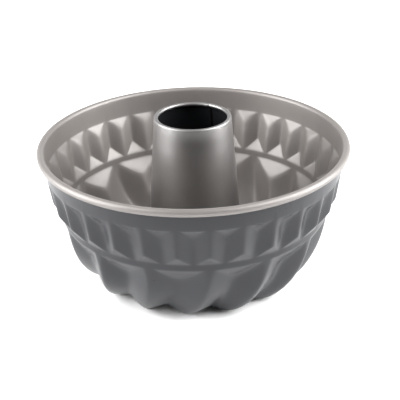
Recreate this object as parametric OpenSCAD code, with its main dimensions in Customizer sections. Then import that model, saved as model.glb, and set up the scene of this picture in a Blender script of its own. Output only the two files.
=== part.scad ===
// Fluted ring cake tin: a pressed sheet bowl with a rolled rim and a tapered centre tube.
// Millimetres, +Z up. The tin stands on the flat feet of its big flutes, centred on the Z axis.
// The front of the tin faces -Y.

/* [Rim] */
// Outer diameter over the rolled rim
rim_d = 220; // [190:1:250]
// Height of the middle of the rolled rim above the surface that the tin stands on
rim_z = 97.5; // [90:0.5:110]
// Diameter of the rolled rim's round section
roll_d = 5.2; // [4.6:0.1:6]
// Space left between the rolled rim and the wire inside it
wire_gap = 0.1; // [0.05:0.05:0.3]
// Gap between the two ends of the rim wire
wire_end_gap = 2; // [1:0.5:6]

/* [Bowl wall] */
// Thickness of the bowl's sheet
sheet = 0.7; // [0.5:0.05:0.9]
// Lean of the plain band and of the belt, in degrees from upright
band_lean = 2.4; // [1:0.1:4]
// Height of the plain band, from the middle of the rim down to the small flutes
band_h = 14.5; // [10:0.5:18]
// Height of the plain belt between the small and the big flutes
belt_h = 4.7; // [3:0.1:7]

/* [Small flutes] */
// Height of the row of small flutes
small_h = 29; // [24:0.5:34]
// Lean of the small flutes' ridges, in degrees from upright
small_lean = 8.5; // [6:0.1:11]
// Depth of the grooves between the small flutes
small_depth = 4.7; // [3:0.1:6]
// Height of the three-cornered facet at the top of each small groove
small_top_facet_h = 7.8; // [5:0.1:10]
// Height of the three-cornered facet at the foot of each small ridge
small_foot_facet_h = 7.2; // [5:0.1:10]

/* [Big flutes] */
// Number of big flutes; there are twice as many small ones
flutes = 15; // [12:1:17]
// Depth of the grooves between the big flutes, next to the belt
big_depth = 7; // [5:0.1:8]
// Depth of the same grooves at the foot
foot_depth = 5; // [3:0.1:6]
// Height of the three-cornered facet at the top of each big groove
big_facet_h = 11.8; // [8:0.1:15]
// Turn of the big flutes between the belt and the foot, in degrees
twist = 13.4; // [5:0.1:18]
// Further turn of the big flutes between the foot and the flat ring, in degrees
inner_twist = 8; // [0:0.5:12]
// Turn of the first ridge from the front, in degrees
first_ridge = 5; // [0:0.5:12]

/* [Foot] */
// Diameter of the circle where the flutes meet the surface that the tin stands on
foot_d = 134; // [124:1:142]
// Length of each flat foot, towards the centre
pad_l = 4; // [2:0.5:6]
// Width of the flat ring round the tube's hole
ring_w = 5.5; // [4.5:0.1:8]
// Height of the flat ring's underside
ring_z = 9; // [6:0.5:12]

/* [Centre tube] */
// Thickness of the tube's sheet
tube_sheet = 0.6; // [0.4:0.05:0.8]
// Outer diameter of the tube where it meets the flat ring
tube_foot_d = 70.8; // [64:0.2:76]
// Outer diameter of the tube at its top edge
tube_top_d = 54.4; // [46:0.2:60]
// Height of the tube's top edge
tube_top_z = 118.3; // [108:0.1:130]
// Diameter of the curled top edge's section
curl_d = 3.6; // [3:0.1:4.4]
// Width of the tube's flange under the flat ring
flange_w = 3.4; // [2:0.1:4.2]
// Radius of the bead that rests on the flat ring
bead_r = 1.3; // [1:0.1:1.8]
// Space between the tube and the pieces of the bowl that it passes
tube_gap = 0.15; // [0.1:0.05:0.3]
// Width of the tube's lapped seam
seam_w = 5; // [3:0.5:8]
// Direction of the seam, in degrees from +X towards +Y
seam_turn = 61; // [0:1:359]

/* [Hidden] */

// Columns of points for each big flute, of which a small flute takes half
flute_columns = 8;
columns = flutes * flute_columns;
// Share of a big flute's half width that is flat at the foot
pad_shares = 0.25;
// Least height between two rows where a facet comes to a point
row_gap = 0.5;
// Lean, in degrees, at which the big flutes leave the belt
big_lean = 4.5;
// Share of the big flutes' height that the wall's upper curve takes
wall_pull_share = 0.565;
// Share of the big flutes' width that the curve at the foot takes
foot_pull_share = 0.41;
// How much later the twist comes than the way down the wall
twist_power = 2.08;
// Shares of the inner slope's width that its two curves take
slope_pull_shares = [0.4, 0.3];
// Direction in which the rolled rim ends, in degrees round the wire
roll_end = -120;
// Step between the rows of the roll's hidden face, which lies round the wire
hidden_roll_step = 60;
hidden_roll_turns = [for (a = [roll_end : hidden_roll_step : 180]) a];
// Directions of the rows of the roll's face that shows
shown_roll_turns = [roll_end, -80, -40, 0, 45, 90, 135, 180];
// Rows between the big facets and the foot
wall_rows = 5;
// Rows between the feet and the flat ring
slope_rows = 3;
// Steps used to measure the wall's length
measure_steps = 32;
// Share of a full round that the tube's top edge is curled
curl_turn_shares = 0.625;
// Segments of the tube's and the wire's round faces
round_segments = 120;
// Segments of a bead or curl in section
section_segments = 24;

roll_r = roll_d / 2;
wire_ring_r = rim_d / 2 - roll_r;
band_r = wire_ring_r - roll_r + sheet;
small_top_z = rim_z - band_h;
small_foot_z = small_top_z - small_h;
belt_foot_z = small_foot_z - belt_h;
small_top_r = band_r - band_h * tan(band_lean);
belt_r = small_ridge_r(small_foot_z) - small_depth;
belt_foot_r = belt_r - belt_h * tan(band_lean);
foot_r = foot_d / 2;
pad_inner_r = foot_r - pad_l;
hole_r = tube_foot_d / 2 + tube_gap;
ring_r = hole_r + ring_w;
wire_r = (roll_r - sheet) * cos(hidden_roll_step / 2) - wire_gap;

// Radius of a small ridge's outer face at height z
function small_ridge_r(z) = small_top_r - (small_top_z - z) * tan(small_lean);

// A point on a curve with two pulls, as radius and height, and the curve's direction there
function curve_point(p, t) =
    pow(1 - t, 3) * p[0] + 3 * pow(1 - t, 2) * t * p[1] + 3 * (1 - t) * t * t * p[2] + pow(t, 3) * p[3];
function curve_direction(p, t) =
    pow(1 - t, 2) * (p[1] - p[0]) + 2 * (1 - t) * t * (p[2] - p[1]) + t * t * (p[3] - p[2]);

// The direction towards the cake, square to the sheet's way d from the rim to the hole
function cake_side(d) = [d[1], -d[0]] / norm(d);

// The big ridges' outer face from the belt to the foot
wall_pull = belt_foot_z * wall_pull_share;
wall_curve = [
    [belt_foot_r, belt_foot_z],
    [belt_foot_r - wall_pull * tan(big_lean), belt_foot_z - wall_pull],
    [foot_r + (belt_foot_r - foot_r) * foot_pull_share, 0],
    [foot_r, 0]
];

// The underside from the foot up to the flat ring
slope_w = pad_inner_r - ring_r;
slope_curve = [
    [pad_inner_r, 0],
    [pad_inner_r - slope_w * slope_pull_shares[0], 0],
    [ring_r + slope_w * slope_pull_shares[1], ring_z],
    [ring_r, ring_z]
];

// Way along the wall's curve, so that a length on the wall can be turned into a place on the curve
function way_to(k) =
    k == 0 ? 0 : way_to(k - 1) + norm(curve_point(wall_curve, k / measure_steps)
                                      - curve_point(wall_curve, (k - 1) / measure_steps));
wall_ways = [for (k = [0 : measure_steps]) [way_to(k), k / measure_steps]];
wall_l = wall_ways[measure_steps][0];

// How far column i lies from a ridge towards a groove, from 0 to 1
function small_wave(i) = abs(2 * (i % (flute_columns / 2)) / (flute_columns / 2) - 1);
function big_wave(i) = abs(2 * (i % flute_columns) / flute_columns - 1);

// A big flute's section, with the part next to its ridge flat over the given share
function flat_wave(w, share) = max(0, (w - share) / (1 - share));

// Direction of column i, turned by the flutes' twist, in degrees from +X
function column_turn(i, turn) = (i / columns) * 360 + first_ridge - 90 - turn;
function place(r, z, i, turn = 0) =
    [r * cos(column_turn(i, turn)), r * sin(column_turn(i, turn)), z];

// Each row function gives one ring of points. depth 0 is the outer face, depth sheet the cake's side.
function roll_row(a, r) =
    [for (i = [1 : columns]) place(wire_ring_r + r * cos(a), rim_z + r * sin(a), i)];

function level_row(r, z, turn, depth) = [for (i = [1 : columns]) place(r - depth, z, i, turn)];

function small_top_row(depth) = [for (i = [1 : columns])
    let (w = 1 - small_wave(i), z = small_top_z - max(row_gap, w * small_top_facet_h))
    place(small_ridge_r(z) - w * small_depth - depth, z, i)];

function small_foot_row(depth) = [for (i = [1 : columns])
    let (w = 1 - small_wave(i), z = small_foot_z + max(row_gap, (1 - w) * small_foot_facet_h))
    place(small_ridge_r(z) - w * small_depth - depth, z, i)];

// Row j of the big flutes, from 0 at the foot of their facets to wall_rows at the foot
function wall_row(j, depth) = [for (i = [1 : columns])
    let (
        w = 1 - big_wave(i),
        start = max(row_gap, w * big_facet_h) / wall_l,
        way = start + (1 - start) * j / wall_rows,
        t = lookup(way * wall_l, wall_ways),
        groove = big_depth + (foot_depth - big_depth) * way,
        inward = groove * flat_wave(w, pad_shares * way) + depth,
        p = curve_point(wall_curve, t) + cake_side(curve_direction(wall_curve, t)) * inward
    )
    place(p[0], p[1], i, twist * pow(way, twist_power))];

// Row j of the inner slope, from 0 at the inner end of the feet to slope_rows at the flat ring
function slope_row(j, depth) = [for (i = [1 : columns])
    let (
        t = j / slope_rows,
        inward = foot_depth * (1 - t) * flat_wave(1 - big_wave(i), pad_shares) + depth,
        p = curve_point(slope_curve, t) + cake_side(curve_direction(slope_curve, t)) * inward
    )
    place(p[0], p[1], i, twist + inner_twist * t)];

// All rows of one face of the sheet below the rolled rim, from the band's foot to the hole
function face_rows(depth) = concat(
    [
        level_row(small_top_r, small_top_z, 0, depth),
        small_top_row(depth),
        small_foot_row(depth),
        level_row(belt_r, small_foot_z, 0, depth),
        level_row(belt_foot_r, belt_foot_z, 0, depth)
    ],
    [for (j = [0 : wall_rows]) wall_row(j, depth)],
    [for (j = [0 : slope_rows]) slope_row(j, depth)],
    [level_row(hole_r, ring_z + depth, twist + inner_twist, 0)]
);

function reversed(list) = [for (k = [len(list) - 1 : -1 : 0]) list[k]];

// Two triangles for each cell between neighbouring rows and columns, closed both ways
function ring_faces(rows) = [for (j = [0 : rows - 1]) for (i = [0 : columns - 1])
    let (
        a = j * columns + i,
        b = j * columns + (i + 1) % columns,
        c = ((j + 1) % rows) * columns + (i + 1) % columns,
        d = ((j + 1) % rows) * columns + i
    )
    each [[a, b, c], [a, c, d]]];

module fluted_bowl() {
    outer_rows = concat([for (a = hidden_roll_turns) roll_row(a, roll_r - sheet)], face_rows(0));
    cake_rows = concat([for (a = shown_roll_turns) roll_row(a, roll_r)], face_rows(sheet));
    rows = concat(outer_rows, reversed(cake_rows));
    color([0.33, 0.34, 0.36])
        polyhedron(points = [for (row = rows) each row], faces = ring_faces(len(rows)));
}

// The tube's sheet in section, as the middle line of its wall from the flange to the curl
curl_r = (curl_d - tube_sheet) / 2;
curl_z = tube_top_z - curl_d / 2;
neck_r = (tube_foot_d - tube_sheet) / 2;
top_r = (tube_top_d - tube_sheet) / 2;
bead_z = ring_z + sheet + tube_gap + bead_r;
bead_line_r = bead_r - tube_sheet / 2;
tube_line = concat(
    [
        [neck_r + flange_w, ring_z - tube_sheet / 2],
        [neck_r, ring_z - tube_sheet / 2],
        [neck_r, bead_z - bead_line_r]
    ],
    [for (k = [1 : section_segments / 2 - 1])
        let (a = -90 + 180 * k / (section_segments / 2))
        [neck_r + bead_line_r * cos(a), bead_z + bead_line_r * sin(a)]],
    [[neck_r, bead_z + bead_line_r]],
    [for (k = [0 : section_segments * curl_turn_shares])
        let (a = 360 * k / section_segments)
        [top_r - curl_r + curl_r * cos(a), curl_z + curl_r * sin(a)]]
);

// Direction square to a line of points at point k, lengthened at corners so that the wall stays even
function line_normal(p, k) =
    let (
        before = k == 0 ? p[1] - p[0] : p[k] - p[k - 1],
        after = k == len(p) - 1 ? before : p[k + 1] - p[k],
        a = [before[1], -before[0]] / norm(before),
        b = [after[1], -after[0]] / norm(after)
    )
    (a + b) / (1 + a * b);

function thick_line(p, t) = concat(
    [for (k = [0 : len(p) - 1]) p[k] + line_normal(p, k) * t / 2],
    [for (k = [len(p) - 1 : -1 : 0]) p[k] - line_normal(p, k) * t / 2]
);

module centre_tube() {
    seam_foot_z = bead_z + bead_r + tube_gap;
    seam_top_z = curl_z - curl_r;
    // The tube's outer face at height z, between the bead and the curl
    function outer_r(z) =
        neck_r + (top_r - neck_r) * (z - bead_z - bead_line_r) / (curl_z - bead_z - bead_line_r)
        + tube_sheet / 2;
    seam_angle = seam_w / outer_r(seam_foot_z) * 180 / PI;
    color([0.60, 0.57, 0.54]) {
        rotate_extrude($fn = round_segments)
            polygon(thick_line(tube_line, tube_sheet));
        rotate([0, 0, seam_turn - seam_angle / 2])
            rotate_extrude(angle = seam_angle, $fn = round_segments)
                polygon([
                    [outer_r(seam_foot_z) - tube_sheet / 2, seam_foot_z],
                    [outer_r(seam_foot_z) + tube_sheet, seam_foot_z],
                    [outer_r(seam_top_z) + tube_sheet, seam_top_z],
                    [outer_r(seam_top_z) - tube_sheet / 2, seam_top_z]
                ]);
    }
}

module rim_wire() {
    gap_angle = wire_end_gap / wire_ring_r * 180 / PI;
    color([0.70, 0.71, 0.72])
        rotate([0, 0, 90 + gap_angle / 2])
            rotate_extrude(angle = 360 - gap_angle, $fn = round_segments)
                translate([wire_ring_r, rim_z])
                    circle(r = wire_r, $fn = section_segments);
}

fluted_bowl();
centre_tube();
rim_wire();
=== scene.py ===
"""Fluted ring cake tin, dressed for a studio picture.

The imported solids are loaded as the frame. One operator presses the bowl, one forms the centre tube,
one finishes the rim wire and one sets up the studio. Lengths are metres, +Z is up, and the front of
the tin faces -Y.
"""
import math

import bmesh
import bpy
from mathutils import Matrix, Vector


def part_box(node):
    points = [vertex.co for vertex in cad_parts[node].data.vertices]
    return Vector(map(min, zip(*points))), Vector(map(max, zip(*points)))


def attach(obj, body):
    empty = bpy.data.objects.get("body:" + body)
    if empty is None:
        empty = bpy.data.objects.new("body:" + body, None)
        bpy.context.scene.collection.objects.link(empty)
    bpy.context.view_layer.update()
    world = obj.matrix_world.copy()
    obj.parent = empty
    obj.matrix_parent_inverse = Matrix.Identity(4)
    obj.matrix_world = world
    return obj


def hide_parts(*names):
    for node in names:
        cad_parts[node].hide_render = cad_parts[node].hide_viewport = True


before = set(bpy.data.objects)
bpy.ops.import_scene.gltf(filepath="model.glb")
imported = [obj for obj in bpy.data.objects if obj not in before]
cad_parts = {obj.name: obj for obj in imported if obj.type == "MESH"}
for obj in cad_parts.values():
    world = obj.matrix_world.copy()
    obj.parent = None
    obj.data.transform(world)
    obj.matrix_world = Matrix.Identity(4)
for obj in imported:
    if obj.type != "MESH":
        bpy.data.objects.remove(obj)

bl_info = {
    "name": "Fluted ring cake tin",
    "version": (1, 0, 0),
    "blender": (4, 5, 0),
    "location": "View3D > Sidebar > Cake tin",
    "description": "Makes the pressed bowl, the centre tube and the studio of a fluted ring cake tin",
    "category": "Object",
}

MM = 0.001
PICTURE = 400
SENSOR = 36
FULL_TURN = 2 * math.pi
BODY = "root"

# Sizes of the detail in the finishes
GRAIN_SIZE = 0.7 * MM
RIPPLE_SIZE = 3.2 * MM
MOTTLING_SIZE = 14 * MM
DRAWN_LINE_SIZE = 0.25 * MM
DULL_PATCH_SIZE = 6 * MM
FLOOR_TOOTH_SIZE = 1.5 * MM

# Rubbed spots: their size, the noise and the heights at which they start and are full, and how much
# of the bare metal they show
SCUFF_SIZE = 1.6 * MM
SCUFF_START = 0.52
SCUFF_FULL = 0.66
SCUFF_TOP = 1.4 * MM
SCUFF_FOOT = 0.2 * MM
SCUFF_SHARE = 0.35
BARE_METAL = (0.3, 0.29, 0.28, 1)

# The dulled edge of a coat, whose colour is darkened there as painted shade: the height over which it sets
# in, its added roughness and the tone of its painted shade
DULL_RISE = 0.6 * MM
DULL_ROUGHNESS = 0.12
EDGE_PAINTED_SHADE_TONE = 0.62

# Roughness of the clear gloss over a coat
GLOSS_ROUGHNESS = 0.36

# How strongly the rows of a facet are drawn towards its edges
ROW_PULL = 0.11

# Direction in which the surroundings are lightest, and half of the range over which they fade
LIGHTEST = (0, 0.77, -0.64)
FADE = 0.6

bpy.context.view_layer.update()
BOWL_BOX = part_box("fluted_bowl")
TUBE_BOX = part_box("centre_tube")


def length(name, description, default):
    """A size in metres that a user can change."""
    return bpy.props.FloatProperty(
        name=name, description=description, default=default, min=0, precision=5, unit="LENGTH"
    )


def angle(name, description, degrees):
    """An angle that a user can change, given in degrees and kept in radians."""
    return bpy.props.FloatProperty(
        name=name, description=description, default=math.radians(degrees), subtype="ANGLE"
    )


def share(name, description, default):
    """A number without a unit, from nothing to one."""
    return bpy.props.FloatProperty(
        name=name, description=description, default=default, min=0, max=1, subtype="FACTOR"
    )


def power(name, description, default):
    """A light's power in watts."""
    return bpy.props.FloatProperty(name=name, description=description, default=default, min=0, unit="POWER")


def tint(name, description, default):
    """A colour that a user can change."""
    return bpy.props.FloatVectorProperty(
        name=name, description=description, default=default, size=3, min=0, max=1, subtype="COLOR"
    )


class CAKETIN_PG_bowl(bpy.types.PropertyGroup):
    """Sizes of the pressed bowl."""

    rim_radius: length("Rim radius", "Radius over the rolled rim", BOWL_BOX[1].x - 0.02 * MM)
    rim_height: length("Rim height", "Height of the middle of the rolled rim", 97.5 * MM)
    roll_radius: length("Roll radius", "Radius of the rolled rim's section", 2.6 * MM)
    roll_end: angle("Roll end", "Direction in which the rolled rim ends", -120)
    sheet: length("Sheet", "Thickness of the sheet", 0.7 * MM)
    band_lean: angle("Band lean", "Lean of the plain band and of the belt", 2.4)
    band_height: length("Band height", "From the middle of the rim to the small flutes", 14.5 * MM)
    belt_height: length("Belt height", "Height of the plain belt below the small flutes", 4.7 * MM)
    small_height: length("Small flutes' height", "Height of the row of small flutes", 29 * MM)
    small_lean: angle("Small flutes' lean", "Lean of the small flutes' ridges", 8.5)
    small_depth: length("Small grooves' depth", "Depth between the small flutes", 4.7 * MM)
    small_top_facet: length("Small top facet", "Height of the facet at the top of a small groove", 11.5 * MM)
    hollow: bpy.props.FloatProperty(
        name="Hollow",
        description="How strongly the small top facets steepen towards the band, 1 for flat",
        default=1.8,
        min=1,
    )
    small_foot_facet: length("Small foot facet", "Height of the facet at the foot of a small ridge", 7.8 * MM)
    flutes: bpy.props.IntProperty(name="Big flutes", description="Number of big flutes", default=15, min=3)
    big_lean: angle("Big flutes' lean", "Lean at which the big flutes leave the belt", 4.5)
    big_depth: length("Big grooves' depth", "Depth between the big flutes, next to the belt", 7 * MM)
    foot_depth: length("Foot grooves' depth", "Depth between the big flutes at the foot", 5 * MM)
    big_facet: length("Big facet", "Height of the facet at the top of a big groove", 11.8 * MM)
    twist: angle("Twist", "Turn of the big flutes between the belt and the foot", 13.4)
    inner_twist: angle("Inner twist", "Further turn between the foot and the flat ring", 8)
    first_ridge: angle("First ridge", "Turn of the first ridge from the front", 5)
    foot_radius: length("Foot radius", "Radius at which the flutes meet the surface below", 67 * MM)
    foot_length: length("Foot length", "Length of each foot towards the centre", 4 * MM)
    ring_radius: length("Ring radius", "Outer radius of the flat ring round the tube", 41.05 * MM)
    ring_height: length("Ring height", "Height of the flat ring's underside", 9 * MM)
    hole_radius: length("Hole radius", "Radius of the hole that the tube passes", 35.55 * MM)
    crease: length("Crease", "Softness of the creases between the facets", 0.9 * MM)
    small_shoulder: share("Small shoulder", "Softness where a small top facet meets its groove", 0.5)
    big_shoulder: length("Big shoulder", "Added softness where a big facet meets its groove", 2.4 * MM)
    small_ridge_soft: share("Small ridge softness", "Rounding of the small ridges", 0.12)
    small_ridge_flat: share("Small ridge flat", "Flat of the small ridges next to the band", 0.2)
    small_groove_flat: share("Small groove flat", "Flat of the small grooves next to the belt", 0.18)
    big_ridge_flat: share("Big ridge flat", "Flat of the big ridges next to the belt", 0.16)
    flat_fade: share("Flat fade", "Share of the way down at which the big ridges' flat has gone", 0.45)
    small_groove_soft: share("Small groove softness", "Rounding of the small grooves", 0.18)
    big_ridge_soft: share("Big ridge softness", "Rounding of the big ridges at the belt", 0.04)
    foot_ridge_soft: share("Foot ridge softness", "Rounding of the big ridges at the foot", 0.32)
    big_groove_soft: share("Big groove softness", "Rounding of the big grooves", 0.22)


class CAKETIN_PG_tube(bpy.types.PropertyGroup):
    """Sizes of the centre tube."""

    sheet: length("Sheet", "Thickness of the sheet", 0.6 * MM)
    foot_radius: length("Foot radius", "Outer radius at the flat ring", 35.4 * MM)
    top_radius: length("Top radius", "Outer radius at the top edge", 27.2 * MM)
    top_height: length("Top height", "Height of the top edge", TUBE_BOX[1].z)
    curl_radius: length("Curl radius", "Radius of the curled edge's section", 1.5 * MM)
    flange: length("Flange", "Width of the flange under the flat ring", 3.4 * MM)
    bead_radius: length("Bead radius", "Radius of the bead on the flat ring", 1.3 * MM)
    gap: length("Gap", "Space between the tube and the bowl", 0.15 * MM)
    seam_width: length("Seam width", "Width of the lapped seam", 5 * MM)
    seam_turn: angle("Seam direction", "Direction of the lapped seam from +X", 61)


class CAKETIN_PG_coats(bpy.types.PropertyGroup):
    """Colours and gloss of the finishes."""

    graphite: tint("Graphite coat", "Colour of the outer coat", (0.017, 0.0177, 0.0206))
    graphite_roughness: share("Graphite roughness", "Roughness of the outer coat", 0.28)
    graphite_metal: share("Graphite metal", "How metallic the outer coat is", 0)
    bronze: tint("Pale bronze coat", "Colour of the coat on the cake's side", (0.168, 0.154, 0.1455))
    bronze_roughness: share("Bronze roughness", "Roughness of the cake side's coat", 0.5)
    bronze_metal: share("Bronze metal", "How metallic the cake side's coat is", 0.33)
    tube: tint("Tube coat", "Colour of the coat on the tube's outside", (0.35, 0.3425, 0.3395))
    tube_roughness: share("Tube roughness", "Roughness of the tube's drawn outside", 0.38)
    gloss: share("Gloss", "Weight of the clear gloss on the cake side's coat", 0.42)
    # The tube's inside is the graphite coat; this colour is darker than the graphite, as painted shade in the
    # hole
    tube_inside_shade: tint("Tube lining", "Colour of the dark coat inside the tube", (0.009, 0.0094, 0.0105))
    steel: tint("Steel", "Colour of the rim wire", (0.56, 0.56, 0.55))


class CAKETIN_PG_studio(bpy.types.PropertyGroup):
    """The camera, the lights and the floor."""

    elevation: angle("Elevation", "Height of the camera above the horizon", 23.3415)
    roll: angle("Roll", "Turn of the camera round its own axis", -1.4906)
    distance: length("Distance", "From the camera to the middle of the rim", 668.7 * MM)
    focal_length: bpy.props.FloatProperty(
        name="Focal length", description="Lens on a 36 mm wide sensor", default=84.914, unit="CAMERA"
    )
    aim: bpy.props.FloatVectorProperty(
        name="Aim",
        description="Where the middle of the rim lies in the picture, in pixels",
        default=(192.792, 142.335),
        size=2,
    )
    floor: tint("Floor", "Colour of the floor", (0.9, 0.9, 0.9))
    floor_radius: length("Floor radius", "Radius of the round floor", 1.15)
    left_low: power("Left low light", "Power of the low light on the left", 43)
    left_high: power("Left high light", "Power of the high light on the left", 23.5)
    right_low: power("Right low light", "Power of the low light on the right", 38)
    right_high: power("Right high light", "Power of the high light on the right", 33)
    back_light: power("Back light", "Power of the low light behind the tin", 2)
    sky: share("Sky", "Brightness of the surroundings", 0.9)
    front_sky: share("Front sky", "Brightness of the surroundings towards the camera", 0.05)


class CAKETIN_PG_settings(bpy.types.PropertyGroup):
    """All values of the tin and its studio."""

    bowl: bpy.props.PointerProperty(type=CAKETIN_PG_bowl)
    tube: bpy.props.PointerProperty(type=CAKETIN_PG_tube)
    coats: bpy.props.PointerProperty(type=CAKETIN_PG_coats)
    studio: bpy.props.PointerProperty(type=CAKETIN_PG_studio)


class Flow:
    """A value that runs from one shader node to the next. Sums and products of it add their Math nodes."""

    def __init__(self, finish, socket):
        self.finish = finish
        self.socket = socket

    def math(self, operation, first, second):
        return self.finish.node("ShaderNodeMath", {"operation": operation}, {0: first, 1: second})

    def __add__(self, other):
        return self.math("ADD", self, other)

    def __radd__(self, other):
        return self.math("ADD", other, self)

    def __mul__(self, other):
        return self.math("MULTIPLY", self, other)

    def __rmul__(self, other):
        return self.math("MULTIPLY", other, self)


class Finish:
    """A material made of nodes."""

    def __init__(self, name):
        self.material = bpy.data.materials.new(name)
        self.material.use_nodes = True
        self.tree = self.material.node_tree
        self.tree.nodes.clear()

    def node(self, kind, settings, inputs, output=0):
        """One node, with its settings set first, then its sockets' values or links."""
        made = self.tree.nodes.new(kind)
        for name, value in settings.items():
            setattr(made, name, value)
        for key, value in inputs.items():
            if isinstance(value, Flow):
                self.tree.links.new(value.socket, made.inputs[key])
            else:
                made.inputs[key].default_value = value
        return Flow(self, made.outputs[output]) if made.outputs else None

    def place(self):
        """Object coordinates in metres, which are the frame's."""
        return self.node("ShaderNodeTexCoord", {}, {}, "Object")

    def noise(self, size, detail=2, roughness=0.5):
        """Even noise whose lumps are about as wide as size."""
        return self.node(
            "ShaderNodeTexNoise",
            {"noise_dimensions": "3D"},
            {"Vector": self.place(), "Scale": 1 / size, "Detail": detail, "Roughness": roughness},
        )

    def ramp(self, value, low, high):
        """0 below low and 1 above high, eased between them."""
        return self.node(
            "ShaderNodeMapRange",
            {"interpolation_type": "SMOOTHSTEP"},
            {"Value": value, "From Min": low, "From Max": high, "To Min": 0.0, "To Max": 1.0},
        )

    def mix(self, amount, first, second):
        """A colour between two colours."""
        return self.node(
            "ShaderNodeMix",
            {"data_type": "RGBA"},
            {"Factor": amount, "A": first, "B": second},
            "Result",
        )

    def bump(self, height, depth):
        """The surface's direction over a relief of that depth."""
        return self.node("ShaderNodeBump", {}, {"Height": height, "Distance": depth, "Strength": 1.0})

    def surface(self, inputs):
        """The surface shader, linked to the material's output. Gives back the material."""
        shader = self.node("ShaderNodeBsdfPrincipled", {}, inputs)
        self.node("ShaderNodeOutputMaterial", {}, {"Surface": shader})
        return self.material


def shade(colour, factor):
    """A colour made lighter or darker, with its alpha."""
    return tuple(min(1, channel * factor) for channel in colour) + (1,)


def coat_finish(
    name, colour, roughness, lift, grain_depth, metal=0.0, gloss=0.0, refraction=1.5, dull_and_shaded_from=None
):
    """A satin coat baked on sheet steel: fine grain, soft mottling and rubbed spots where the tin stands.

    lift is how much the tone varies. Above the height passed as the last argument, the coat is duller and its
    colour is darker: painted shade that dims the highlight on that edge.
    """
    finish = Finish(name)
    mottling = finish.noise(MOTTLING_SIZE, 3)
    grain = finish.noise(GRAIN_SIZE, 2, 0.6)
    ripple = finish.noise(RIPPLE_SIZE, 1)
    height = finish.node("ShaderNodeSeparateXYZ", {}, {"Vector": finish.place()}, "Z")
    scuffs = finish.ramp(finish.noise(SCUFF_SIZE, 4, 0.7), SCUFF_START, SCUFF_FULL)
    rubbed = scuffs * finish.ramp(height, SCUFF_TOP, SCUFF_FOOT)
    tone = finish.mix(mottling * 0.5 + grain * 0.5, shade(colour, 1 - lift), shade(colour, 1 + lift))
    base = finish.mix(rubbed * SCUFF_SHARE, tone, BARE_METAL)
    # The roughness varies by a few hundredths with the mottling and the grain
    dullness = roughness - 0.03 + mottling * 0.04 + grain * 0.03
    # The darker colour above that height is painted shade that dims the edge's highlight; the added roughness
    # dulls its gloss
    if dull_and_shaded_from:
        at_edge = finish.ramp(height, dull_and_shaded_from, dull_and_shaded_from + DULL_RISE)
        dullness = dullness + at_edge * DULL_ROUGHNESS
        base = finish.mix(at_edge, base, shade(colour, EDGE_PAINTED_SHADE_TONE))
    return finish.surface({
        "Base Color": base,
        "Metallic": metal,
        "Roughness": dullness,
        "IOR": refraction,
        "Coat Weight": gloss,
        "Coat Roughness": GLOSS_ROUGHNESS,
        "Normal": finish.bump(grain + ripple * 0.5, grain_depth),
    })


def graphite_finish(coats):
    return coat_finish(
        "graphite_coat",
        coats.graphite,
        coats.graphite_roughness,
        lift=0.12,
        grain_depth=0.02 * MM,
        metal=coats.graphite_metal,
        refraction=1.38,
    )


def bronze_finish(coats):
    return coat_finish(
        "pale_bronze_coat",
        coats.bronze,
        coats.bronze_roughness,
        lift=0.14,
        grain_depth=0.016 * MM,
        metal=coats.bronze_metal,
        gloss=coats.gloss,
    )


def tube_finish(coats):
    return coat_finish(
        "tube_coat",
        coats.tube,
        coats.tube_roughness,
        lift=0.14,
        grain_depth=0.012 * MM,
        metal=1.0,
        gloss=coats.gloss,
        # The curled top edge: duller, and darkened with painted shade
        dull_and_shaded_from=TUBE_BOX[1].z - 1.8 * MM,
    )


# The tube's inside: the graphite coat, darker and less reflective than on the bowl, as painted shade in the
# hole
def tube_inside_shade_finish(coats):
    return coat_finish(
        "tube_lining",
        coats.tube_inside_shade,
        coats.graphite_roughness,
        lift=0.05,
        grain_depth=0.02 * MM,
        metal=coats.graphite_metal,
        refraction=1.22,
    )


def steel_finish(coats):
    """Drawn steel wire: fine lines and a little dullness."""
    finish = Finish("drawn_steel")
    lines = finish.noise(DRAWN_LINE_SIZE, 3, 0.6)
    dull = finish.noise(DULL_PATCH_SIZE, 2)
    return finish.surface({
        "Base Color": finish.mix(dull, shade(coats.steel, 0.85), shade(coats.steel, 1.05)),
        "Metallic": 1.0,
        "Roughness": 0.28 + dull * 0.12,
        "Normal": finish.bump(lines, 0.01 * MM),
    })


def floor_finish(studio):
    """A plain pale floor with the faintest tooth."""
    finish = Finish("pale_floor")
    return finish.surface({
        "Base Color": shade(studio.floor, 1),
        "Roughness": 0.7,
        "Normal": finish.bump(finish.noise(FLOOR_TOOTH_SIZE), 0.02 * MM),
    })


def shared_finish(name, make, values):
    """A finish by its name, made once for all pieces."""
    return bpy.data.materials.get(name) or make(values)


def soft_ramp(way, run, slope, start_soft, end_soft):
    """Rises by slope over a run and stays level before and after it, with each bend rounded."""
    return slope * (math.hypot(way, start_soft) - math.hypot(way - run, end_soft) + run) / 2


def rounded(out, flat, soft):
    """Rises from 0 to 1, level as far as flat and straight after it, with the bend rounded."""
    start, here, end = (math.hypot(at - flat, soft) + math.hypot(at + flat, soft) for at in (0, out, 1))
    return (here - start) / (end - start)


def rounded_wave(turn, period, ridge, groove):
    """0 on a ridge and 1 in a groove, straight between them. ridge and groove are a flat and a softness."""
    out = abs((turn / period + 0.5) % 1 - 0.5) * 2
    return 1 - rounded(1 - rounded(out, *ridge), *groove)


def eased(part):
    """A share from 0 to 1, drawn together at both ends."""
    return part - ROW_PULL * math.sin(FULL_TURN * part)


def drawn(turn, period, pull):
    """A column's angle, drawn towards the nearest crease. The creases lie half a period apart."""
    half = period / 2
    return turn - pull * math.sin(turn * FULL_TURN / half) * half / FULL_TURN


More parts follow.
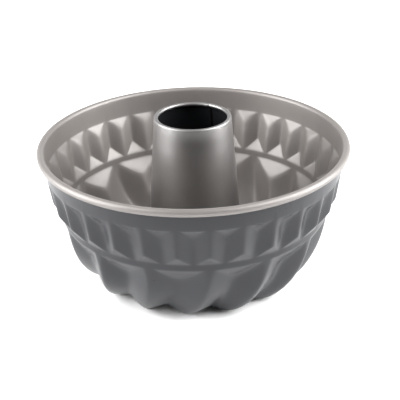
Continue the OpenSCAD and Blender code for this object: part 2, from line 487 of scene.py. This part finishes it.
class Curve:
    """A curve in the section with two pulls, measured by its length."""

    STEPS = 64

    def __init__(self, *points):
        self.points = [Vector(p) for p in points]
        self.ways = [0]
        last = self.at(0)
        for step in range(1, self.STEPS + 1):
            here = self.at(step / self.STEPS)
            self.ways.append(self.ways[-1] + (here - last).length)
            last = here
        self.length = self.ways[-1]

    def at(self, t):
        a, b, c, d = self.points
        return a * (1 - t) ** 3 + b * 3 * t * (1 - t) ** 2 + c * 3 * t * t * (1 - t) + d * t ** 3

    def inward(self, t):
        """The direction towards the cake, square to the curve."""
        a, b, c, d = self.points
        along = (b - a) * (1 - t) ** 2 + (c - b) * 2 * t * (1 - t) + (d - c) * t * t
        return Vector((along.y, -along.x)).normalized()

    def share_at(self, way):
        """The curve's own share at a length along it."""
        for step in range(self.STEPS):
            if way <= self.ways[step + 1]:
                part = (way - self.ways[step]) / (self.ways[step + 1] - self.ways[step])
                return (step + part) / self.STEPS
        return 1.0


class BowlForm:
    """The outer face of the bowl's sheet, from the end of the roll round the rim down to the tube's hole."""

    # Rows of points in each part of the section
    PARTS = (
        ("roll", 20), ("band", 4), ("band_foot", 3), ("small_top_facet", 8), ("small_wall", 12),
        ("small_foot_facet", 8), ("belt_top", 3), ("belt", 2), ("belt_foot", 3), ("big_facet", 10),
        ("big_wall", 22), ("foot", 3), ("slope", 12), ("ring", 3),
    )
    COLUMNS_PER_FLUTE = 28
    # How strongly the columns are drawn towards the creases where these are sharpest
    COLUMN_PULL = 0.5
    # Height of the finely divided strip where a plain band meets the flutes
    EDGE = 1.3 * MM
    # Least height of a facet's rows, where the facet itself has run out
    LEAST = 0.4 * MM
    # How far each curve keeps the direction of its end, as a share of its run
    BELT_PULL = 0.565
    FOOT_PULL = 0.41
    OUTER_SLOPE_PULL = 0.4
    INNER_SLOPE_PULL = 0.3
    # How the twist, the softness of the big ridges and the small shoulder grow on the way down
    TWIST_GROWTH = 2.08
    SOFT_GROWTH = 1.5
    SHOULDER_GROWTH = 0.35
    # Height below the band over which the small shoulder sets in
    SHOULDER_START = 1.5 * MM

    def __init__(self, sizes):
        self.s = sizes
        self.rows = []
        for name, count in self.PARTS:
            self.rows += [(name, step / count) for step in range(count)]
        self.rows.append(("ring", 1.0))
        self.columns = sizes.flutes * self.COLUMNS_PER_FLUTE
        self.big_period = FULL_TURN / sizes.flutes
        self.small_period = self.big_period / 2
        self.wire_ring = sizes.rim_radius - sizes.roll_radius
        self.roll_face = sizes.roll_radius - sizes.sheet
        self.band_radius = self.wire_ring - self.roll_face
        self.small_top = sizes.rim_height - sizes.band_height
        self.small_foot = self.small_top - sizes.small_height
        self.belt_foot = self.small_foot - sizes.belt_height
        self.small_top_radius = self.band_radius - sizes.band_height * math.tan(sizes.band_lean)
        belt_foot_radius = self.wall_line(self.belt_foot) - sizes.small_depth
        pull = self.belt_foot * self.BELT_PULL
        self.wall = Curve(
            (belt_foot_radius, self.belt_foot),
            (belt_foot_radius - pull * math.tan(sizes.big_lean), self.belt_foot - pull),
            (sizes.foot_radius + (belt_foot_radius - sizes.foot_radius) * self.FOOT_PULL, 0),
            (sizes.foot_radius, 0),
        )
        foot_inner = sizes.foot_radius - sizes.foot_length
        run = foot_inner - sizes.ring_radius
        self.slope = Curve(
            (foot_inner, 0),
            (foot_inner - run * self.OUTER_SLOPE_PULL, 0),
            (sizes.ring_radius + run * self.INNER_SLOPE_PULL, sizes.ring_height),
            (sizes.ring_radius, sizes.ring_height),
        )

    def wall_line(self, z):
        """The small ridges' line, carried on above as the band and below at the belt's lean."""
        s = self.s
        below = self.small_top - z
        band = below * math.tan(s.band_lean)
        more = math.tan(s.small_lean) - math.tan(s.band_lean)
        return self.small_top_radius - band - soft_ramp(below, s.small_height, more, s.crease, s.crease)

    def groove(self, way, wave):
        """Depth of a big groove at a length below the belt; above it the facet's bend fades out."""
        s = self.s
        share_down = max(0.0, way) / self.wall.length
        fade = 1 + (s.foot_depth / s.big_depth - 1) * share_down
        slope = s.big_depth / s.big_facet
        return fade * soft_ramp(way, s.big_facet * wave, slope, s.crease, s.crease + s.big_shoulder * wave)

    def small_top_depth(self, z, small):
        """Depth of a small groove under the hollow facet at its top, which runs out at the band's foot."""
        s = self.s
        way = self.small_top - z
        down = (way + math.hypot(way, s.crease)) / 2 / s.small_top_facet
        facet = 1 - (1 - down) ** s.hollow if down < 1 else down
        set_in = max(0.0, min(1, way / self.SHOULDER_START))
        soft = s.small_shoulder * min(1, facet) ** self.SHOULDER_GROWTH * set_in
        depth = (facet + small - math.hypot(facet - small, soft)) / 2
        return s.small_depth * max(0.0, depth + (math.hypot(facet, soft) - facet) / 2)

    def wall_point(self, z, small, big):
        """Radius of the wall at a height between the rim and the belt's foot."""
        s = self.s
        top = self.small_top_depth(z, small)
        run = s.small_foot_facet * (1 - small)
        foot_slope = s.small_depth / s.small_foot_facet
        foot = soft_ramp(self.small_foot + run - z, run, foot_slope, s.crease, s.crease)
        return self.wall_line(z) - top - foot - self.groove(self.belt_foot - z, big)

    def place(self, row, turn):
        """The point in a row and column, as x, y and z. turn is the column's angle from the first ridge."""
        s = self.s
        part, step = self.rows[row]
        turn = drawn(turn, self.small_period, self.draw_small(part, step))
        turn = drawn(turn, self.big_period, self.draw_big(part, step))
        small = self.small_wave(turn, part, step)
        twisted = 0.0
        if part == "roll":
            around = s.roll_end + (math.pi - s.roll_end) * step
            radius = self.wire_ring + self.roll_face * math.cos(around)
            z = s.rim_height + self.roll_face * math.sin(around)
        elif part in ("big_facet", "big_wall"):
            start = self.LEAST + s.big_facet * self.big_wave(turn, 0)
            way = start * eased(step) if part == "big_facet" else start + (self.wall.length - start) * step
            down = way / self.wall.length
            wave = self.big_wave(turn, down)
            t = self.wall.share_at(way)
            radius, z = self.wall.at(t) + self.wall.inward(t) * self.groove(way, wave)
            twisted = s.twist * down ** self.TWIST_GROWTH
        elif part in ("foot", "slope", "ring"):
            lift = s.foot_depth * self.big_wave(turn, 1)
            twisted = s.twist
            if part == "foot":
                radius = s.foot_radius - s.foot_length * step
                z = lift
            elif part == "slope":
                radius, z = self.slope.at(step) + self.slope.inward(step) * lift * (1 - step)
                twisted += s.inner_twist * step
            else:
                radius = s.ring_radius + (s.hole_radius - s.ring_radius) * step
                z = s.ring_height
                twisted += s.inner_twist
        else:
            z = self.level(part, step, small)
            radius = self.wall_point(z, small, self.big_wave(turn, 0))
        direction = turn + s.first_ridge - math.pi / 2 - twisted
        return Vector((radius * math.cos(direction), radius * math.sin(direction), z))

    def small_wave(self, turn, part, step):
        """The small flutes' wave in a row. The ridges are flat by the band and the grooves by the belt."""
        s = self.s
        down = {"band": 0, "band_foot": 0, "small_top_facet": 0, "small_wall": eased(step)}.get(part, 1)
        ridge = (s.small_ridge_flat * (1 - down) ** 2, s.small_ridge_soft)
        groove = (s.small_groove_flat * down ** 2, s.small_groove_soft)
        return rounded_wave(turn, self.small_period, ridge, groove)

    def big_wave(self, turn, down):
        """The big flutes' wave at a share of the way down, with the ridges flat by the belt."""
        s = self.s
        soft = s.big_ridge_soft + (s.foot_ridge_soft - s.big_ridge_soft) * down ** self.SOFT_GROWTH
        flat = s.big_ridge_flat * max(0.0, 1 - down / s.flat_fade) ** 2
        return rounded_wave(turn, self.big_period, (flat, soft), (0, s.big_groove_soft))

    def level(self, part, step, small):
        """Height of a row in the wall, which follows the slanting edges of the small facets."""
        s = self.s
        facet_edge = self.small_top - self.LEAST - s.small_top_facet * (1 - (1 - small) ** (1 / s.hollow))
        foot_edge = self.small_foot + self.LEAST + s.small_foot_facet * (1 - small)
        high, low, step = {
            "band": (s.rim_height, self.small_top + self.EDGE, step),
            "band_foot": (self.small_top + self.EDGE, self.small_top, step),
            "small_top_facet": (self.small_top, facet_edge, eased(step)),
            "small_wall": (facet_edge, foot_edge, eased(step)),
            "small_foot_facet": (foot_edge, self.small_foot, eased(step)),
            "belt_top": (self.small_foot, self.small_foot - self.EDGE, step),
            "belt": (self.small_foot - self.EDGE, self.belt_foot + self.EDGE, step),
            "belt_foot": (self.belt_foot + self.EDGE, self.belt_foot, step),
        }[part]
        return high + (low - high) * step

    def draw_small(self, part, step):
        """How strongly the columns are drawn together at the small creases."""
        if part in ("small_top_facet", "small_wall", "small_foot_facet", "belt_top"):
            return self.COLUMN_PULL
        level = {"band": 0.5 * step, "band_foot": 0.5 + 0.5 * step, "belt": 1 - step}.get(part, 0)
        return self.COLUMN_PULL * level

    def draw_big(self, part, step):
        """How strongly the columns are drawn together at the big creases."""
        if part in ("belt_foot", "big_facet", "big_wall"):
            return self.COLUMN_PULL
        level = {"belt": step, "foot": 1 - 0.6 * step, "slope": 0.4 - 0.4 * step}.get(part, 0)
        return self.COLUMN_PULL * level


def new_piece(name, mesh, finishes, slot, *nodes):
    """Makes a piece from a mesh, which rides on the body and stands for its solids."""
    data = bpy.data.meshes.new(name)
    mesh.to_mesh(data)
    mesh.free()
    for finish in finishes:
        data.materials.append(finish)
    piece = bpy.data.objects.new(name, data)
    bpy.context.scene.collection.objects.link(piece)
    for polygon in data.polygons:
        polygon.use_smooth = True
    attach(piece, BODY)
    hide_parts(*nodes)
    return piece


def spun_blank(rows, columns):
    """A round blank one metre in radius, with a row of points at each whole height."""
    mesh = bmesh.new()
    line = [mesh.verts.new((1, 0, row)) for row in range(rows)]
    edges = [mesh.edges.new(pair) for pair in zip(line, line[1:])]
    bmesh.ops.spin(
        mesh, geom=line + edges, cent=(0, 0, 0), axis=(0, 0, 1), dvec=(0, 0, 0), angle=FULL_TURN,
        steps=columns, use_merge=True, use_duplicate=False,
    )
    return mesh


def face_outwards(mesh):
    """Turns the faces of an open sheet round so that its widest part faces away from the axis."""
    bmesh.ops.recalc_face_normals(mesh, faces=mesh.faces)
    mesh.faces.ensure_lookup_table()
    upright = max(mesh.faces, key=lambda face: abs(face.normal.dot(from_axis(face))) * face.calc_area())
    if upright.normal.dot(from_axis(upright)) < 0:
        bmesh.ops.reverse_faces(mesh, faces=mesh.faces)


def from_axis(face):
    """The direction from the axis to a face."""
    middle = face.calc_center_median()
    return Vector((middle.x, middle.y, 0)).normalized()


def thicken(mesh, thickness):
    """Gives an open sheet its thickness. Its own faces take the first finish and all others the second."""
    outer = list(mesh.faces)
    bmesh.ops.solidify(mesh, geom=outer, thickness=thickness)
    for face in mesh.faces:
        face.material_index = 1
    for face in outer:
        face.material_index = 0


def on_circle(middle, radius, around):
    """A point of a circle in the section."""
    return middle + radius * Vector((math.cos(around), math.sin(around)))


class CAKETIN_OT_bowl(bpy.types.Operator):
    """Spin a round blank, press the flutes into it, roll its rim and give it the sheet's thickness"""

    bl_idname = "cake_tin.press_bowl"
    bl_label = "Press the bowl"

    def execute(self, context):
        settings = context.scene.cake_tin
        form = BowlForm(settings.bowl)
        mesh = spun_blank(len(form.rows), form.columns)
        for vertex in mesh.verts:
            turn = math.atan2(vertex.co.y, vertex.co.x)
            vertex.co = form.place(round(vertex.co.z), turn)
        face_outwards(mesh)
        thicken(mesh, settings.bowl.sheet)
        new_piece(
            "bowl_sheet",
            mesh,
            [
                shared_finish("graphite_coat", graphite_finish, settings.coats),
                shared_finish("pale_bronze_coat", bronze_finish, settings.coats),
            ],
            "outer_coat",
            "fluted_bowl",
        )
        return {"FINISHED"}


class TubeForm:
    """The outer face of the tube's sheet, from the edge of its flange up to the end of its curled top."""

    COLUMNS = 240
    # Steps in each part of the section
    BEAD_STEPS = 12
    WALL_STEPS = 24
    CURL_STEPS = 21
    # Half of the bead's arc, and the whole arc of the curled edge
    BEAD_HALF = math.radians(75)
    CURL_TURN = math.radians(225)
    # Size of the small bends at the bead's foot and head
    FOOT_BEND = 0.2 * MM
    BEAD_HEAD = 0.25 * MM
    # How far the columns next to the seam's edge are drawn towards it, as a share of their spacing
    EDGE_PULL = 0.45
    # Depth and half width of the notch that the seam leaves in the curled edge
    DENT = 0.35 * MM
    DENT_WIDTH = math.radians(1.6)

    def __init__(self, sizes, bowl):
        self.s = sizes
        bead_middle = Vector((
            sizes.foot_radius - sizes.sheet / 2,
            bowl.ring_height + bowl.sheet + sizes.gap + sizes.bead_radius,
        ))
        curl_middle = Vector((sizes.top_radius - sizes.curl_radius, sizes.top_height - sizes.curl_radius))
        line = [
            Vector((bead_middle.x + sizes.flange, bowl.ring_height)),
            Vector((sizes.foot_radius + self.FOOT_BEND, bowl.ring_height)),
            Vector((sizes.foot_radius, bowl.ring_height + self.FOOT_BEND)),
        ]
        for step in range(self.BEAD_STEPS + 1):
            around = self.BEAD_HALF * (2 * step / self.BEAD_STEPS - 1)
            line.append(on_circle(bead_middle, sizes.bead_radius, around))
        self.seam_foot = len(line)
        foot = Vector((sizes.foot_radius, bead_middle.y + sizes.bead_radius + self.BEAD_HEAD))
        top = Vector((sizes.top_radius, curl_middle.y))
        for step in range(self.WALL_STEPS):
            line.append(foot.lerp(top, step / self.WALL_STEPS))
        self.seam_top = len(line) - 1
        for step in range(self.CURL_STEPS + 1):
            line.append(on_circle(curl_middle, sizes.curl_radius, self.CURL_TURN * step / self.CURL_STEPS))
        self.line = line

    def place(self, row, turn):
        """The point in a row and column. turn is the column's angle from the seam's edge."""
        s = self.s
        point = self.line[row]
        spacing = FULL_TURN / self.COLUMNS
        if abs(turn) < spacing:
            turn *= 1 - 2 * self.EDGE_PULL
        out = 0.0
        if self.seam_foot <= row <= self.seam_top:
            from_edge = -turn * point.x / s.seam_width
            if 0 <= from_edge < 1:
                out = s.sheet * (1 - from_edge * from_edge * (3 - 2 * from_edge))
        if row > self.seam_top:
            inner = (row - self.seam_top) / (len(self.line) - 1 - self.seam_top)
            out = self.DENT * inner * math.exp(-((turn / self.DENT_WIDTH) ** 2))
        radius = point.x + out
        direction = turn + s.seam_turn
        return Vector((radius * math.cos(direction), radius * math.sin(direction), point.y))


class CAKETIN_OT_tube(bpy.types.Operator):
    """Spin the tapered tube from its section, with its flange, bead, curled edge and lapped seam"""

    bl_idname = "cake_tin.form_tube"
    bl_label = "Form the centre tube"

    def execute(self, context):
        settings = context.scene.cake_tin
        form = TubeForm(settings.tube, settings.bowl)
        mesh = spun_blank(len(form.line), form.COLUMNS)
        half_column = math.pi / form.COLUMNS
        for vertex in mesh.verts:
            turn = math.atan2(vertex.co.y, vertex.co.x) + half_column
            vertex.co = form.place(round(vertex.co.z), turn if turn <= math.pi else turn - FULL_TURN)
        face_outwards(mesh)
        thicken(mesh, settings.tube.sheet)
        new_piece(
            "tube_sheet",
            mesh,
            [
                shared_finish("tube_coat", tube_finish, settings.coats),
                # The tube's inside takes the graphite coat darkened with painted shade
                shared_finish("tube_lining", tube_inside_shade_finish, settings.coats),
            ],
            "inner_coat",
            "centre_tube",
        )
        return {"FINISHED"}


class CAKETIN_OT_wire(bpy.types.Operator):
    """Give the wire inside the rolled rim its drawn steel finish"""

    bl_idname = "cake_tin.finish_wire"
    bl_label = "Finish the rim wire"

    def execute(self, context):
        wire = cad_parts["rim_wire"]
        wire.data.materials.clear()
        wire.data.materials.append(shared_finish("drawn_steel", steel_finish, context.scene.cake_tin.coats))
        for polygon in wire.data.polygons:
            polygon.material_index = 0
        return {"FINISHED"}


def aim_camera(camera, studio, middle):
    """Puts the camera where the picture was taken from. middle is the middle of the rim."""
    slope = studio.elevation
    back = Vector((0, -math.cos(slope), math.sin(slope)))
    right = Vector((1, 0, 0))
    up = Vector((0, math.sin(slope), math.cos(slope)))
    rolled_right = right * math.cos(studio.roll) + up * math.sin(studio.roll)
    rolled_up = up * math.cos(studio.roll) - right * math.sin(studio.roll)
    focal_pixels = studio.focal_length / SENSOR * PICTURE
    aim = Vector((
        (studio.aim[0] - (PICTURE - 1) / 2) / focal_pixels,
        -(studio.aim[1] - (PICTURE - 1) / 2) / focal_pixels,
        -1,
    )).normalized()
    turned = Vector((0, 0, -1)).rotation_difference(aim).to_matrix()
    view = turned @ Matrix((rolled_right, rolled_up, back))
    camera.matrix_world = Matrix.Translation(middle + back * studio.distance) @ view.transposed().to_4x4()


def soft_box(name, place, towards, size, watts):
    """A soft box of that width and height which faces a point."""
    data = bpy.data.lights.new(name, "AREA")
    data.shape = "RECTANGLE"
    data.size, data.size_y = size
    data.energy = watts
    light = bpy.data.objects.new(name, data)
    bpy.context.scene.collection.objects.link(light)
    light.location = place
    light.rotation_euler = (Vector(towards) - Vector(place)).to_track_quat("-Z", "Y").to_euler()
    light.visible_camera = False


def surroundings(studio):
    """A room that is lightest low down behind the tin and dark overhead and towards the camera.

    What the camera sees of it past the floor is plain and white.
    """
    world = bpy.data.worlds.new("light_tent")
    world.use_nodes = True
    bpy.context.scene.world = world
    nodes = world.node_tree.nodes
    nodes.clear()
    links = world.node_tree.links
    place = nodes.new("ShaderNodeTexCoord")
    towards = nodes.new("ShaderNodeVectorMath")
    towards.operation = "DOT_PRODUCT"
    towards.inputs[1].default_value = LIGHTEST
    ramp = nodes.new("ShaderNodeMapRange")
    ramp.interpolation_type = "SMOOTHSTEP"
    ramp.inputs["From Min"].default_value = -FADE
    ramp.inputs["From Max"].default_value = FADE
    ramp.inputs["To Min"].default_value = studio.front_sky
    ramp.inputs["To Max"].default_value = studio.sky
    light = nodes.new("ShaderNodeBackground")
    light.inputs["Color"].default_value = (1, 1, 1, 1)
    backdrop = nodes.new("ShaderNodeBackground")
    backdrop.inputs["Color"].default_value = (1, 1, 1, 1)
    rays = nodes.new("ShaderNodeLightPath")
    either = nodes.new("ShaderNodeMixShader")
    output = nodes.new("ShaderNodeOutputWorld")
    links.new(place.outputs["Generated"], towards.inputs[0])
    links.new(towards.outputs["Value"], ramp.inputs["Value"])
    links.new(ramp.outputs["Result"], light.inputs["Strength"])
    links.new(rays.outputs["Is Camera Ray"], either.inputs["Fac"])
    links.new(light.outputs["Background"], either.inputs[1])
    links.new(backdrop.outputs["Background"], either.inputs[2])
    links.new(either.outputs["Shader"], output.inputs["Surface"])


class CAKETIN_OT_studio(bpy.types.Operator):
    """Set the camera, the floor and the soft lights"""

    bl_idname = "cake_tin.set_studio"
    bl_label = "Set up the studio"
    # Each soft box's name, its place, its width and height, and the value that holds its power
    BOXES = (
        ("left_low_box", (-1.4, -0.2, 0.5), (1.2, 0.9), "left_low"),
        ("left_high_box", (-0.95, -0.2, 1.15), (1.4, 0.7), "left_high"),
        ("right_low_box", (1.4, -0.05, 0.5), (1.1, 0.9), "right_low"),
        ("right_high_box", (0.95, -0.15, 1.15), (1.4, 0.7), "right_high"),
        ("back_box", (0, 1.5, 0.4), (1.8, 0.7), "back_light"),
    )
    FLOOR_SIDES = 96

    def execute(self, context):
        settings = context.scene.cake_tin
        studio = settings.studio
        middle = Vector((0, 0, settings.bowl.rim_height))
        lens = bpy.data.cameras.new("camera")
        lens.sensor_width = SENSOR
        lens.sensor_fit = "HORIZONTAL"
        lens.lens = studio.focal_length
        lens.clip_start = 0.02
        lens.clip_end = 50
        camera = bpy.data.objects.new("camera", lens)
        context.scene.collection.objects.link(camera)
        aim_camera(camera, studio, middle)
        context.scene.camera = camera

        mesh = bmesh.new()
        bmesh.ops.create_circle(
            mesh, cap_ends=True, segments=self.FLOOR_SIDES, radius=studio.floor_radius
        )
        data = bpy.data.meshes.new("floor")
        mesh.to_mesh(data)
        mesh.free()
        data.materials.append(floor_finish(studio))
        floor = bpy.data.objects.new("floor", data)
        context.scene.collection.objects.link(floor)

        for name, place, size, value in self.BOXES:
            soft_box(name, place, middle, size, getattr(studio, value))
        surroundings(studio)
        context.scene.view_settings.view_transform = "Standard"
        return {"FINISHED"}


class CAKETIN_PT_panel(bpy.types.Panel):
    """The values and the making of the tin, in order"""

    bl_idname = "CAKETIN_PT_panel"
    bl_label = "Fluted ring cake tin"
    bl_space_type = "VIEW_3D"
    bl_region_type = "UI"
    bl_category = "Cake tin"

    def draw(self, context):
        settings = context.scene.cake_tin
        steps = (
            (settings.bowl, CAKETIN_OT_bowl),
            (settings.tube, CAKETIN_OT_tube),
            (settings.coats, CAKETIN_OT_wire),
            (settings.studio, CAKETIN_OT_studio),
        )
        for values, operator in steps:
            box = self.layout.box()
            for name in values.bl_rna.properties.keys():
                if name not in ("rna_type", "name"):
                    box.prop(values, name)
            box.operator(operator.bl_idname)


CLASSES = (
    CAKETIN_PG_bowl, CAKETIN_PG_tube, CAKETIN_PG_coats, CAKETIN_PG_studio, CAKETIN_PG_settings,
    CAKETIN_OT_bowl, CAKETIN_OT_tube, CAKETIN_OT_wire, CAKETIN_OT_studio, CAKETIN_PT_panel,
)


def register():
    for kind in CLASSES:
        bpy.utils.register_class(kind)
    bpy.types.Scene.cake_tin = bpy.props.PointerProperty(type=CAKETIN_PG_settings)


def unregister():
    del bpy.types.Scene.cake_tin
    for kind in reversed(CLASSES):
        bpy.utils.unregister_class(kind)


def main():
    register()
    bpy.ops.cake_tin.press_bowl()
    bpy.ops.cake_tin.form_tube()
    bpy.ops.cake_tin.finish_wire()
    bpy.ops.cake_tin.set_studio()


if __name__ == "__main__":
    main()
